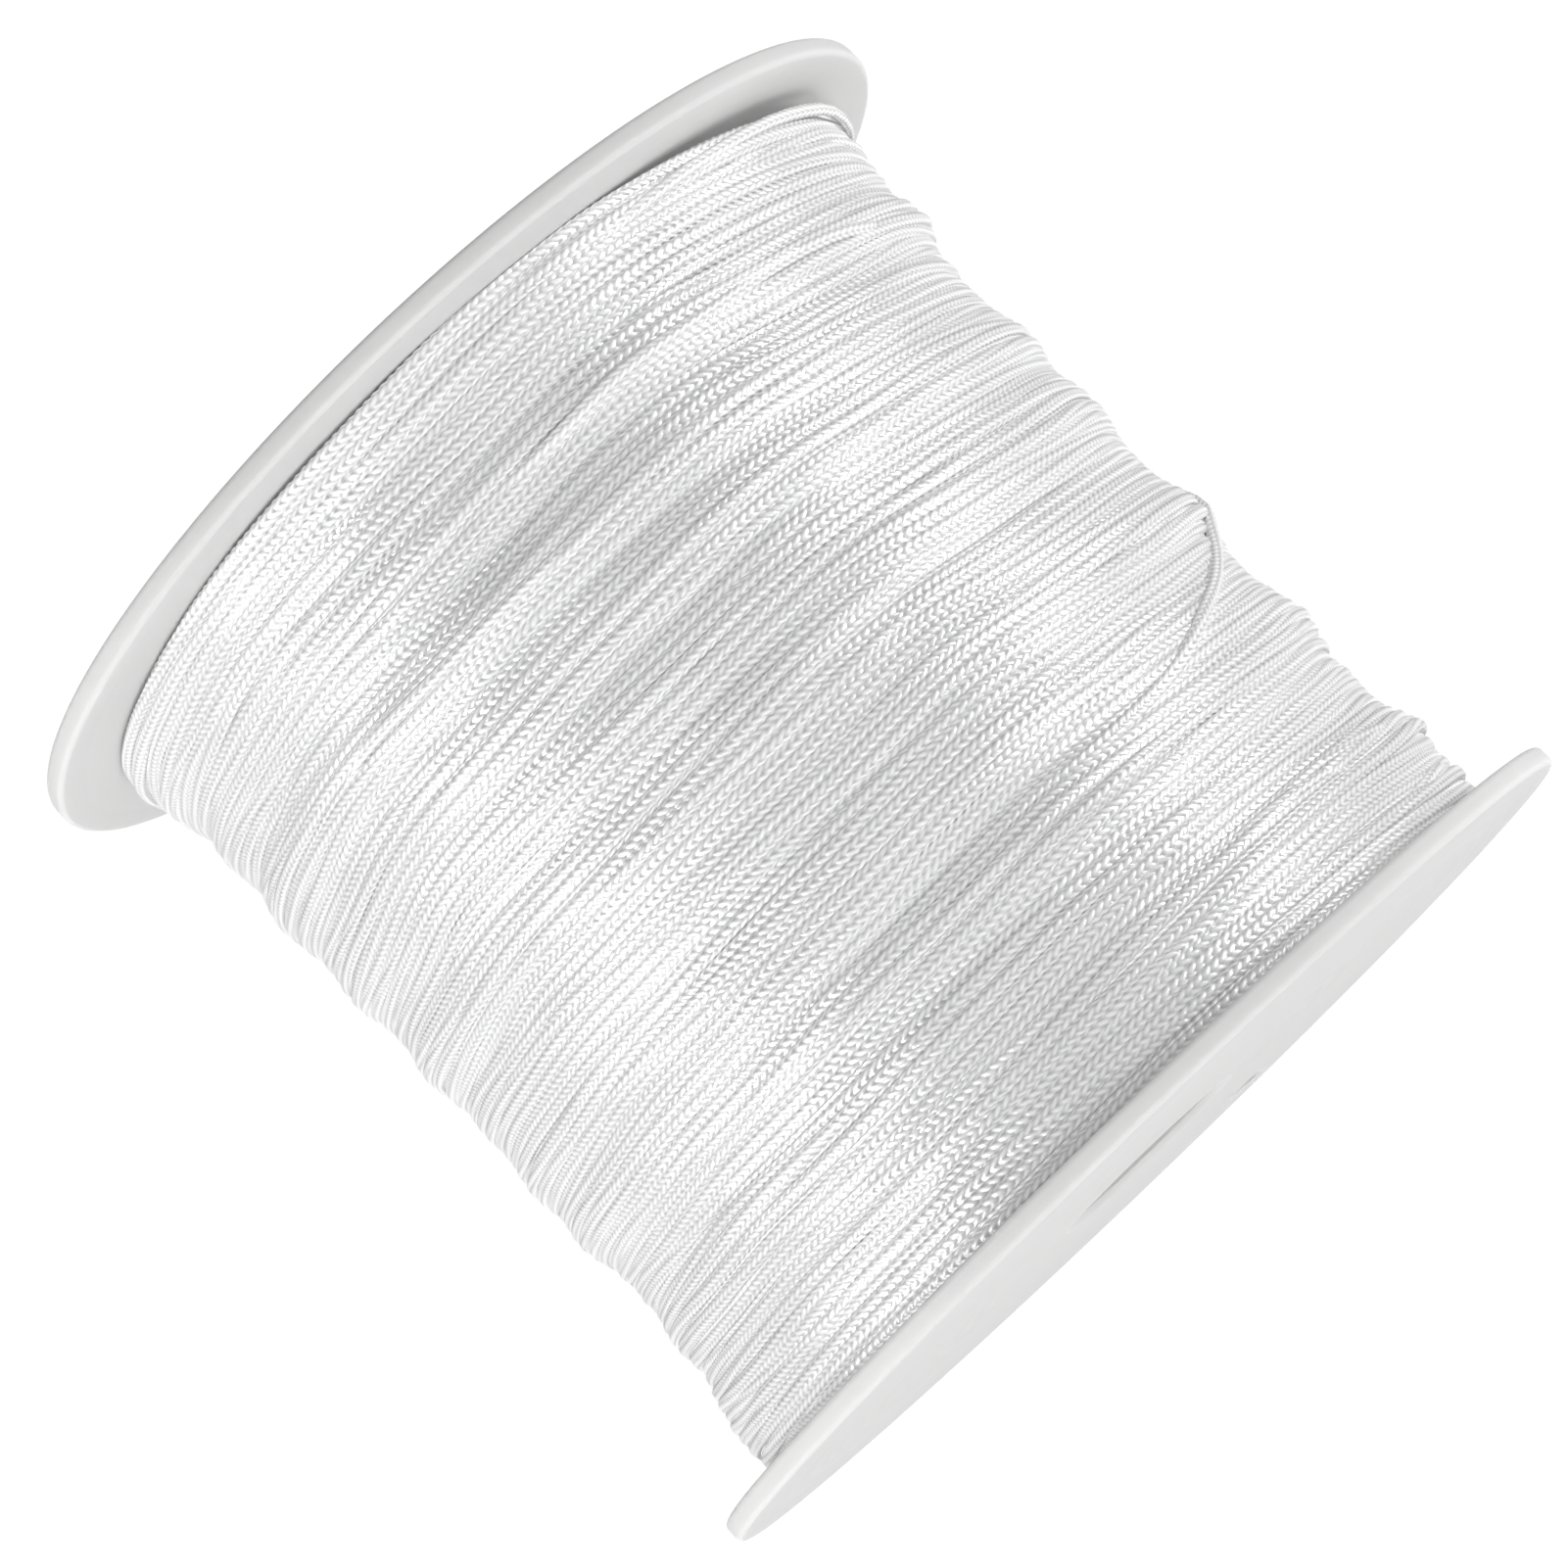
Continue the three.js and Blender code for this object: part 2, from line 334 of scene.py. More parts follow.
def braid_group():
    """The braid's finish: white beads, painted shade in the clefts between them and a fine, uneven thread.
    """
    tree, given, out = shader_group(
        "Braided Surface",
        [
            ("Cord UV", "NodeSocketVector"),
            ("Place", "NodeSocketVector"),
            ("Bead Color", "NodeSocketColor"),
            ("Cleft Color", "NodeSocketColor"),
            ("Thread", "NodeSocketFloat"),
        ],
        [
            ("Color", "NodeSocketColor"),
            ("Roughness", "NodeSocketFloat"),
            ("Height", "NodeSocketFloat"),
            ("Slope", "NodeSocketFloat"),
        ],
    )
    along, around, _ = add(tree, "ShaderNodeSeparateXYZ", {0: given["Cord UV"]}).outputs
    bead, way = braid_height(tree, along, around)
    # Painted shade: clefts are painted fully dark up to 0.15 of the braid's height, and beads keep their
    # own white from 0.85.
    colour = add(
        tree,
        "ShaderNodeMix",
        {0: mapped(tree, bead, 0.15, 0.85), 6: given["Cleft Color"], 7: given["Bead Color"]},
        data_type="RGBA",
    )
    patches = noise(tree, Vector=given["Place"], Scale=160, Detail=3, Roughness=0.5)
    rough = mapped(tree, patches, 0.3, 0.7, 0.32, 0.44)
    thread = noise(tree, Vector=given["Place"], Scale=5200, Detail=2, Roughness=0.6)
    fuzz = calc(tree, "MULTIPLY", calc(tree, "SUBTRACT", thread, 0.5), given["Thread"])

    # Turns rise over those below and sink again, in streaks that are much longer than they are tall.
    streak_place = vector(tree, "MULTIPLY", given["Place"], (1, 1, STREAK_LENGTH))
    streaks = noise(tree, Vector=streak_place, Scale=75, Detail=3, Roughness=0.6)
    single = noise(tree, W=along, Scale=BRAID_PITCH / CORD_WAVE, Detail=2, Roughness=0.6)
    bundle_slope = calc(tree, "MULTIPLY", calc(tree, "SUBTRACT", streaks, 0.5), BUNDLE_SHARE)
    single_slope = calc(tree, "MULTIPLY", calc(tree, "SUBTRACT", single, 0.5), SINGLE_SHARE)
    slope = calc(tree, "ADD", bundle_slope, single_slope)
    tree.links.new(calc(tree, "MULTIPLY_ADD", way, STRAND_TILT, slope), out.inputs["Slope"])
    tree.links.new(colour.outputs[2], out.inputs["Color"])
    tree.links.new(rough, out.inputs["Roughness"])
    tree.links.new(calc(tree, "ADD", bead, fuzz), out.inputs["Height"])
    return tree


def moulded_group():
    """Moulded plastic: a faint orange peel, faint rings from the mould, and a few dark specks."""
    tree, given, out = shader_group(
        "Moulded Surface",
        [("Place", "NodeSocketVector"), ("Base Color", "NodeSocketColor"), ("Specks", "NodeSocketFloat")],
        [("Color", "NodeSocketColor"), ("Roughness", "NodeSocketFloat"), ("Height", "NodeSocketFloat")],
    )
    place = given["Place"]
    from_axis = vector(tree, "LENGTH", vector(tree, "MULTIPLY", place, (1, 1, 0)))
    peel = noise(tree, Vector=place, Scale=900, Detail=2)
    rings = noise(tree, W=from_axis, Scale=900, Detail=3)
    cloud = noise(tree, Vector=place, Scale=45, Detail=4)
    # A cell's own random value says whether it holds a speck, and how large the speck is.
    cells = add(tree, "ShaderNodeTexVoronoi", {"Vector": place, "Scale": 150, "Randomness": 1}).outputs
    chance = add(tree, "ShaderNodeSeparateColor", {0: cells["Color"]}).outputs[0]
    speck_reach = mapped(tree, chance, 0.7, 1.0, 0.0, 0.026)
    speck = mapped(tree, calc(tree, "SUBTRACT", speck_reach, cells["Distance"]), 0.0, 0.006)
    shade = mapped(tree, cloud, 0.3, 0.7, 0.965, 1.0)
    shade = calc(tree, "SUBTRACT", shade, calc(tree, "MULTIPLY", speck, given["Specks"]))
    half_peel, half_rings = (calc(tree, "MULTIPLY", value, 0.5) for value in (peel, rings))
    tree.links.new(scaled(tree, given["Base Color"], shade), out.inputs["Color"])
    tree.links.new(mapped(tree, rings, 0.3, 0.7, 0.50, 0.62), out.inputs["Roughness"])
    tree.links.new(calc(tree, "ADD", half_peel, half_rings), out.inputs["Height"])
    return tree


def finished(name, group, feeds, bump_distance, bump_strength, **sockets):
    """A material whose colour, roughness and bump come from a group. Other sockets take plain values."""
    material = bpy.data.materials.new(name)
    material.use_nodes = True
    tree = material.node_tree
    tree.nodes.clear()
    out = tree.nodes.new("ShaderNodeOutputMaterial")
    place = add(tree, "ShaderNodeTexCoord").outputs["Object"]
    surface = add(tree, "ShaderNodeGroup", node_tree=group)
    tree.links.new(place, surface.inputs["Place"])
    for socket, value in feeds.items():
        surface.inputs[socket].default_value = value
    bump = add(
        tree,
        "ShaderNodeBump",
        {"Height": surface.outputs["Height"], "Distance": bump_distance * MM, "Strength": bump_strength},
    )
    if "Cord UV" in surface.inputs:
        cord_uv = add(tree, "ShaderNodeUVMap", uv_map="cord_uv")
        tree.links.new(cord_uv.outputs[0], surface.inputs["Cord UV"])
        along_cord = add(tree, "ShaderNodeTangent", direction_type="UV_MAP", uv_map="cord_uv").outputs[0]
        straight = add(tree, "ShaderNodeNewGeometry").outputs["Normal"]
        tilt = scaled(tree, along_cord, calc(tree, "MULTIPLY", surface.outputs["Slope"], CORD_UNEVENNESS))
        tilted = vector(tree, "NORMALIZE", vector(tree, "ADD", straight, tilt))
        tree.links.new(tilted, bump.inputs["Normal"])
    shader = add(
        tree,
        "ShaderNodeBsdfPrincipled",
        {
            "Base Color": surface.outputs["Color"],
            "Roughness": surface.outputs["Roughness"],
            "Normal": bump.outputs[0],
        },
    )
    if "Anisotropic" in sockets:
        tree.links.new(along_cord, shader.inputs["Tangent"])
    for socket, value in sockets.items():
        shader.inputs[socket.replace("_", " ")].default_value = value
    tree.links.new(shader.outputs[0], out.inputs[0])
    return material


braid = braid_group()
moulded = moulded_group()

# Painted shade: the clefts of this cord's braid are painted darker than its white beads.
cord_finish = finished(
    "white_braided_cord",
    braid,
    {"Bead Color": (0.92, 0.92, 0.92, 1), "Cleft Color": (0.48, 0.48, 0.485, 1), "Thread": 0.3},
    bump_distance=0.06,
    bump_strength=1.0,
    Specular_IOR_Level=1.0,
    IOR=2.1,
    Anisotropic=0.8,
    Anisotropic_Rotation=0.25,
)
# Painted light: the hidden layers wear a lighter copy of the top cord's finish, with whiter beads and
# lighter painted cleft shade, which lightens the shade in the gaps where they show.
painted_lighter_under_cord_finish = finished(
    "white_braided_cord_below_painted_lighter",
    braid,
    {"Bead Color": (0.96, 0.955, 0.955, 1), "Cleft Color": (0.55, 0.545, 0.545, 1), "Thread": 0.3},
    bump_distance=0.08,
    bump_strength=1.0,
    Specular_IOR_Level=1.0,
)
spool_finish = finished(
    "white_moulded_plastic",
    moulded,
    {"Base Color": (0.645, 0.645, 0.642, 1), "Specks": 0.4},
    bump_distance=0.02,
    bump_strength=0.25,
    Specular_IOR_Level=0.3,
    Subsurface_Weight=0.5,
    Subsurface_Radius=(1.0, 1.0, 1.0),
    Subsurface_Scale=0.0015,
)


# ---- The winding: where every turn lies ----
def ease(share):
    """0 below 0, 1 above 1, and smooth between."""
    share = np.clip(share, 0, 1)
    return share * share * (3 - 2 * share)


def ripples(rng, turn, height, waves, size, around, along):
    """A smooth random height over the winding, from waves that close round it. Turns are in radians.

    around is how many times a wave goes up and down round the reel, and along is its length up it.
    """
    total = np.zeros(np.broadcast(turn, height).shape)
    for _ in range(waves):
        lobes = int(round(rng.normal(0, around)))
        rate = 2 * math.pi / along * rng.uniform(0.6, 1.4)
        total += np.sin(lobes * turn + rate * height + rng.uniform(0, 2 * math.pi))
    return total * size / math.sqrt(waves / 2)


def even_layer(upward):
    """One layer evenly laid: how many turns lie before each point, and the heights of the points."""
    turns_done = np.arange(TURNS_IN_A_LAYER)[:, None] + np.arange(STATIONS)[None, :] / STATIONS
    share = turns_done / TURNS_IN_A_LAYER if upward else 1 - turns_done / TURNS_IN_A_LAYER
    return turns_done, WINDING_LOW + (WINDING_HIGH - WINDING_LOW) * share


def laid_layer(rng, upward):
    """Heights of one layer's turns as they were laid: in bundles that sway and part together."""
    turns_done, height = even_layer(upward)
    drift = ripples(rng, np.broadcast_to(STATION_TURN, height.shape), height, **DRIFT)
    sway = np.zeros_like(height)
    begun = 0.0
    while begun < TURNS_IN_A_LAYER:
        wave = np.zeros(STATIONS)
        for lobes in range(1, SWAY_LOBES + 1):
            phase = rng.uniform(0, 2 * math.pi)
            wave += rng.normal() / (1 + SWAY_FADE * lobes) * np.sin(lobes * STATION_TURN + phase)
        handed_over = ease((turns_done - begun + HAND_OVER) / (2 * HAND_OVER)) if begun else 1.0
        sway = sway * (1 - handed_over) + wave[None, :] * handed_over
        begun += rng.integers(BUNDLE[0], BUNDLE[1] + 1) + rng.uniform(0, 1)
    held = ease((height - WINDING_LOW) / HELD_REACH) * ease((WINDING_HIGH - height) / HELD_REACH)
    height = height + held * (drift + SWAY * sway)
    if not upward:
        height = height[::-1]
    first, last = height[0].copy(), height[-1].copy()
    gaps = np.maximum(np.diff(height, axis=0), CORD_DIAMETER / 2)
    gaps *= (last - first) / gaps.sum(0)
    height = np.concatenate([first[None], first + np.cumsum(gaps, 0)])
    if not upward:
        height = height[::-1]
    return np.clip(height, WINDING_LOW, WINDING_HIGH)


def flare(turn, away, mean, swing, where):
    """How far the bed rises at this distance away from a flange."""
    return (mean + swing * np.cos(turn - where)) * np.exp(-away / FLARE_REACH)


def bed_table():
    """Radius of what the outer layers lie on, by height and turn: ridged, and higher at the flanges."""
    rng = np.random.default_rng(BED_SEED)
    height = np.arange(int(OVERALL_LENGTH + 1) * BED_STEPS_IN_A_MM + 1)[:, None] / BED_STEPS_IN_A_MM
    turn = STATION_TURN[None, :]
    waves = ripples(rng, turn, height, **RIDGES)
    for side, bulges in BULGE_SIDES.items():
        near = np.exp(BULGE_SPREAD * (np.cos(turn - math.radians(side)) - 1))
        shape = sum(rise * np.exp(-(((height - at) / BULGE_REACH) ** 2)) for at, rise in bulges)
        waves = waves * (1 - near) + BULGE_HEIGHT * (shape - BULGE_BASE) * near
    bed = BED_RADIUS + waves + FULLER_BY * np.cos(turn - math.radians(FULLER_SIDE))
    lower = flare(turn, height - FLANGE_THICKNESS, *LOWER_FLARE)
    upper = flare(turn, OVERALL_LENGTH - height - FLANGE_THICKNESS, *UPPER_FLARE)
    return bed + lower + upper


def bed_under(bed, height):
    """The bed's radius under points at these heights, one column for each station."""
    step = np.clip(height * BED_STEPS_IN_A_MM, 0, len(bed) - 1.001)
    row = step.astype(int)
    share = step - row
    column = np.arange(STATIONS)[None, :]
    return bed[row, column] * (1 - share) + bed[row + 1, column] * share


def straighten(values):
    """Evens a value along the cord, in place. values has a row for each turn."""
    line = values.reshape(-1)
    line[1:-1] += STRAIGHTENING * (0.5 * (line[:-2] + line[2:]) - line[1:-1])


def settled_winding(bed):
    """Heights and radii of the outer layers' turns, a row for each turn, in the order they were wound.

    The cord is pulled inwards while its turns push each other apart, until they lie side by side.
    """
    rng = np.random.default_rng(WINDING_SEED)
    layers = [laid_layer(rng, upward) for upward in (True, False, True)]
    height = np.concatenate(layers)
    radius = np.concatenate(
        [
            np.full(layer.shape, BED_RADIUS + CORD_DIAMETER * (0.5 + LAYER_RISE * number))
            for number, layer in enumerate(layers)
        ]
    )
    column = np.arange(STATIONS)[None, :]
    for step in range(SETTLING_STEPS):
        radius -= SETTLING_PULL * (1 - step / SETTLING_STEPS)
        straighten(height)
        straighten(radius)
        if step % SORTING_STEPS == 0:
            order = np.argsort(height, axis=0)
        h, r = height[order, column], radius[order, column]
        push_h, push_r = np.zeros_like(h), np.zeros_like(r)
        for apart in range(1, NEIGHBOURS + 1):
            dh, dr = h[apart:] - h[:-apart], r[apart:] - r[:-apart]
            distance = np.sqrt(dh * dh + dr * dr) + 1e-6
            push = np.clip(CORD_DIAMETER - distance, 0, None) * PUSH / distance
            push_h[apart:] += push * dh
            push_h[:-apart] -= push * dh
            push_r[apart:] += push * dr
            push_r[:-apart] -= push * dr
        height[order, column] += push_h
        radius[order, column] += push_r
        np.maximum(radius, bed_under(bed, height) + CORD_DIAMETER / 2, out=radius)
        np.clip(height, WINDING_LOW, WINDING_HIGH, out=height)
    return height, radius


def closed_up(height):
    """Heights of one layer's turns, with the gaps and the overlaps between neighbours made less."""
    gaps = np.abs(np.diff(height, axis=0))
    way = np.sign(height[-1, 0] - height[0, 0])
    gaps = np.clip(CORD_DIAMETER + GAP_KEPT * (gaps - CORD_DIAMETER), *GAP_LIMITS)
    gaps *= np.abs(height[-1] - height[0]) / gaps.sum(0)
    closer = np.concatenate([height[:1], height[:1] + way * np.cumsum(gaps, 0)])
    for _ in range(CLOSING_ROUNDS):
        straighten(closer)
    return closer


def mean_radius(height, radius):
    """Mean radius of one layer's turns near each of its points."""
    apart = height[:, None, :] - height[None, :, :]
    weight = np.exp(-0.5 * (apart / EVENING_REACH) ** 2)
    return (weight * radius[None]).sum(1) / weight.sum(1)


# ---- Cords from routes ----
def sweep_tree():
    """Sweeps a braided cord along a route of points, with its braid's relief in the mesh."""
    tree = bpy.data.node_groups.new("Braided Cord Sweep", "GeometryNodeTree")
    for label, kind, value in [
        ("Route", "NodeSocketGeometry", None),
        ("Width", "NodeSocketFloat", CORD_WIDTH * MM),
        ("Height", "NodeSocketFloat", CORD_HEIGHT * MM),
        ("Sides", "NodeSocketInt", 8),
        ("Stations", "NodeSocketInt", 100),
        ("Braids", "NodeSocketFloat", 25.0),
        ("First Braid", "NodeSocketFloat", 0.0),
        ("Relief", "NodeSocketFloat", BRAID_RELIEF * MM),
        ("Finish", "NodeSocketMaterial", None),
    ]:
        socket = tree.interface.new_socket(label, in_out="INPUT", socket_type=kind)
        if value is not None:
            socket.default_value = value
    tree.interface.new_socket("Cord", in_out="OUTPUT", socket_type="NodeSocketGeometry")
    given = tree.nodes.new("NodeGroupInput").outputs

    line = add(tree, "GeometryNodeMeshToCurve", {0: given["Route"]})
    smooth = add(tree, "GeometryNodeCurveSplineType", {0: line.outputs[0]}, spline_type="CATMULL_ROM")
    stations = add(
        tree,
        "GeometryNodeResampleCurve",
        {"Curve": smooth.outputs[0], "Count": given["Stations"]},
        mode="COUNT",
    )
    upright = add(tree, "GeometryNodeSetCurveNormal", {0: stations.outputs[0]}, mode="Z_UP")
    part = add(tree, "GeometryNodeSplineParameter").outputs["Factor"]
    along = calc(tree, "ADD", given["First Braid"], calc(tree, "MULTIPLY", part, given["Braids"]))
    twist = add(tree, "GeometryNodeInputNamedAttribute", {"Name": "twist"}, data_type="FLOAT")
    route = add(tree, "GeometryNodeCaptureAttribute")
    route.capture_items.new("FLOAT", "along")
    route.capture_items.new("FLOAT", "twist")
    tree.links.new(upright.outputs[0], route.inputs[0])
    tree.links.new(along, route.inputs[1])
    tree.links.new(calc(tree, "DIVIDE", twist.outputs[0], 2 * math.pi), route.inputs[2])

    # The section's corners start on its inner side and crowd on its outer side, which shows. Its X
    # points away from the reel's axis.
    ring = add(tree, "GeometryNodeCurvePrimitiveCircle", {"Resolution": given["Sides"]})
    corner = add(tree, "GeometryNodeSplineParameter").outputs["Index"]
    even = calc(tree, "MULTIPLY", calc(tree, "DIVIDE", corner, given["Sides"]), 2 * math.pi)
    crowded = calc(tree, "MULTIPLY", calc(tree, "SINE", even), CORNER_CROWDING)
    angle = calc(tree, "ADD", even, crowded)
    outwards = calc(tree, "COSINE", calc(tree, "ADD", angle, math.pi))
    squared = calc(tree, "POWER", calc(tree, "ABSOLUTE", outwards), CORD_SQUARENESS)
    squared = calc(tree, "MULTIPLY", squared, calc(tree, "SIGN", outwards))
    aside = calc(tree, "SINE", calc(tree, "ADD", angle, math.pi))
    beneath = calc(tree, "MULTIPLY", given["Relief"], 0.5)
    half_height = calc(tree, "SUBTRACT", calc(tree, "MULTIPLY", given["Height"], 0.5), beneath)
    half_width = calc(tree, "SUBTRACT", calc(tree, "MULTIPLY", given["Width"], 0.5), beneath)
    corner_place = add(
        tree,
        "ShaderNodeCombineXYZ",
        {
            "X": calc(tree, "MULTIPLY", squared, half_height),
            "Y": calc(tree, "MULTIPLY", aside, half_width),
        },
    )
    placed = add(
        tree,
        "GeometryNodeSetPosition",
        {"Geometry": ring.outputs[0], "Position": corner_place.outputs[0]},
    )
    section = add(tree, "GeometryNodeCaptureAttribute")
    section.capture_items.new("FLOAT", "around")
    tree.links.new(placed.outputs[0], section.inputs[0])
    tree.links.new(calc(tree, "DIVIDE", angle, 2 * math.pi), section.inputs[1])

    tube = add(
        tree,
        "GeometryNodeCurveToMesh",
        {"Curve": route.outputs[0], "Profile Curve": section.outputs[0], "Fill Caps": True},
    )
    along, twisted_by, around = route.outputs[1], route.outputs[2], section.outputs[1]
    bead, _ = braid_height(tree, along, calc(tree, "ADD", around, twisted_by))
    normal = add(tree, "GeometryNodeInputNormal").outputs[0]
    raised = scaled(tree, normal, calc(tree, "MULTIPLY", bead, given["Relief"]))
    shaped = add(tree, "GeometryNodeSetPosition", {"Geometry": tube.outputs[0], "Offset": raised})
    # The faces that close the ring run from its last corner to corner 0, which counts as 1 for them.
    middle = add(
        tree, "GeometryNodeFieldOnDomain", {0: around}, data_type="FLOAT", domain="FACE"
    ).outputs[0]
    closing = calc(tree, "GREATER_THAN", calc(tree, "SUBTRACT", middle, around), 0.3)
    turned_by = calc(tree, "ADD", calc(tree, "ADD", around, closing), twisted_by)
    uv = add(tree, "ShaderNodeCombineXYZ", {"X": along, "Y": turned_by})
    with_uv = add(
        tree,
        "GeometryNodeStoreNamedAttribute",
        {"Geometry": shaped.outputs[0], "Name": "cord_uv", "Value": uv.outputs[0]},
        data_type="FLOAT2",
        domain="CORNER",
    )
    shaded = add(tree, "GeometryNodeSetShadeSmooth", {"Geometry": with_uv.outputs[0]})
    plain = add(tree, "GeometryNodeRealizeInstances", {"Geometry": shaded.outputs[0]})
    dressed = add(
        tree,
        "GeometryNodeSetMaterial",
        {"Geometry": plain.outputs[0], "Material": given["Finish"]},
    )
    out = tree.nodes.new("NodeGroupOutput")
    tree.links.new(dressed.outputs[0], out.inputs[0])
    return tree


def link(data_object):
    """Puts an object in the scene, and hands it back."""
    bpy.context.scene.collection.objects.link(data_object)
    return data_object


def plain_mesh(source, name):
    """source as its modifiers leave it, as a plain mesh object of its own. source is removed."""
    bpy.context.view_layer.update()
    evaluated = source.evaluated_get(bpy.context.evaluated_depsgraph_get())
    mesh = bpy.data.meshes.new_from_object(evaluated)
    mesh.name = name
    source.modifiers.clear()
    bpy.data.objects.remove(source)
    return link(bpy.data.objects.new(name, mesh))


sweep = sweep_tree()


def swept_cord(name, points, twist, finish, fineness, relief, braids, first_braid=0):
    """A cord along points, in mm, as a mesh object. Its braid goes on from first_braid."""
    sides, stations_a_braid = fineness
    mesh = bpy.data.meshes.new(name + "_route")
    edges = [(i, i + 1) for i in range(len(points) - 1)]
    mesh.from_pydata((np.asarray(points) * MM).tolist(), edges, [])
    mesh.attributes.new("twist", "FLOAT", "POINT").data.foreach_set("value", twist.astype(np.float32))
    route = link(bpy.data.objects.new(name + "_route", mesh))
    modifier = route.modifiers.new("sweep", "NODES")
    modifier.node_group = sweep
    values = {
        "Sides": sides,
        "Stations": int(round(braids * stations_a_braid)) + 1,
        "Braids": float(braids),
        "First Braid": float(first_braid),
        "Relief": relief * MM,
        "Finish": finish,
    }
    for item in sweep.interface.items_tree:
        if item.name in values:
            modifier[item.identifier] = values[item.name]
    return plain_mesh(route, name)


def run_along(points):
    """Length of the route up to each point."""
    steps = np.linalg.norm(np.diff(points, axis=0), axis=1)
    return np.concatenate([[0], np.cumsum(steps)])


def slow_twist(run, seed):
    """How a cord has turned round its own line, in radians, as it was laid."""
    rng = np.random.default_rng(seed)
    total = np.zeros(len(run))
    for length, size in TWIST_WAVES:
        total += size * np.sin(2 * math.pi * run / length + rng.uniform(0, 2 * math.pi))
    return total


def on_reel(turn, height, radius):
    """Points of the part's frame, from turns in radians."""
    return np.stack([radius * np.cos(turn), radius * np.sin(turn), height], axis=-1)


def wound_cord(height, radius):
    """The turns of one layer as one line of points."""
    turn = np.broadcast_to(STATION_TURN, height.shape)
    return on_reel(turn, height, radius).reshape(-1, 3)


def make_layer(name, height, radius, finish, fineness, seed, relief=0.0, pieces=1):
    """One layer of turns, in pieces that follow each other along the cord."""
    points = wound_cord(height, radius)
    run = run_along(points)
    twist = slow_twist(run, seed)
    ends = [round(i * (len(points) - 1) / pieces) for i in range(pieces + 1)]
    first_braid = 0
    made = []
    for number, (begin, end) in enumerate(zip(ends, ends[1:]), 1):
        label = f"{name}_{number}" if pieces > 1 else name
        part = slice(begin, end + 1)
        braids = round((run[end] - run[begin]) / BRAID_PITCH)
        made.append(
            swept_cord(label, points[part], twist[part], finish, fineness, relief, braids, first_braid)
        )
        first_braid += braids
    return made


bed = bed_table()
cord_height, cord_radius = settled_winding(bed)
third, _, top = (slice(n * TURNS_IN_A_LAYER, (n + 1) * TURNS_IN_A_LAYER) for n in range(3))
cord_height[top] = closed_up(cord_height[top])
cord_radius[top] += EVENING * (mean_radius(cord_height[top], cord_radius[top]) - cord_radius[top])
# The turns just below show in the gaps, so they are laid again, in the grooves of the top layer.
groove_height = (cord_height[top][:-1] + cord_height[top][1:]) / 2
groove_radius = (cord_radius[top][:-1] + cord_radius[top][1:]) / 2 - SECOND_LAYER_BELOW

top_turns = make_layer(
    "cord_top_turns",
    cord_height[top],
    cord_radius[top],
    cord_finish,
    TOP_MESH,
    seed=11,
    relief=BRAID_RELIEF,
    pieces=TOP_PIECES,
)
second_turns = make_layer(
    "cord_second_layer", groove_height, groove_radius, painted_lighter_under_cord_finish, SECOND_MESH, seed=12
)
third_turns = make_layer(
    "cord_third_layer", cord_height[third], cord_radius[third], painted_lighter_under_cord_finish, THIRD_MESH, seed=13
)

# The hidden layers are evenly laid, up and down in turn, and share the room below the bed.
inner_turns = []
for number in range(INNER_LAYERS):
    _, inner_height = even_layer(upward=number % 2 == 0)
    room = bed_under(bed, inner_height) - BARREL_RADIUS - CORD_DIAMETER
    inner_radius = BARREL_RADIUS + CORD_DIAMETER / 2 + room * number / (INNER_LAYERS - 1)
    label = f"cord_inner_layer_{number + 1}"
    inner_turns += make_layer(
        label, inner_height, inner_radius, painted_lighter_under_cord_finish, INNER_MESH, seed=20 + number
    )


# ---- The crossing stretch ----
def lying_over(turn, at_height):
    """Radius at which a cord lies on the settled turns, for one place of the winding."""
    column = int(round(math.degrees(turn) / 360 * STATIONS)) % STATIONS
    aside = np.abs(cord_height[:, column] - at_height)
    near = aside < CROSSING_CONTACT
    reach = np.sqrt(CROSSING_CONTACT**2 - aside[near] ** 2)
    return float(np.max(cord_radius[near, column] + reach))


def crossing_points():
    """The crossing stretch's line: over the other turns, and down between them at both ends."""
    turns = np.radians([turn for turn, _ in CROSSING_ROUTE])
    heights = np.array([FLANGE_THICKNESS + share * BARREL_LENGTH for _, share in CROSSING_ROUTE])
    turn = np.linspace(turns[0], turns[-1], CROSSING_POINTS)
    line = np.interp(turn, turns, heights)
    for _ in range(CROSSING_SMOOTHING):
        line[1:-1] = (line[:-2] + line[2:]) / 2
    over = np.array([lying_over(t, h) for t, h in zip(turn, line)])
    reach = over.copy()
    for _ in range(CROSSING_TIGHTENING):
        reach[1:-1] = np.maximum((reach[:-2] + reach[2:]) / 2, over[1:-1])
    share = (turn - turn[0]) / (turn[-1] - turn[0])
    dive = sum(CROSSING_DIVE * (1 - ease(end / CROSSING_DIVE_SHARE)) for end in (share, 1 - share))
    return on_reel(turn, line, reach - dive - CROSSING_SINKS)


crossing = crossing_points()
crossing_run = run_along(crossing)
crossing_strand = swept_cord(
    "cord_crossing_turn",
    crossing,
    slow_twist(crossing_run, seed=14),
    cord_finish,
    CROSSING_MESH,
    BRAID_RELIEF,
    braids=round(crossing_run[-1] / BRAID_PITCH),
)


# ---- The spool's mouldings ----
def arc(centre, size, begin, end, steps=5):
    """Points of an arc, as (radius, height), from begin to end degrees."""
    angles = np.radians(np.linspace(begin, end, steps + 1))
    return [(centre[0] + size * math.cos(a), centre[1] + size * math.sin(a)) for a in angles]


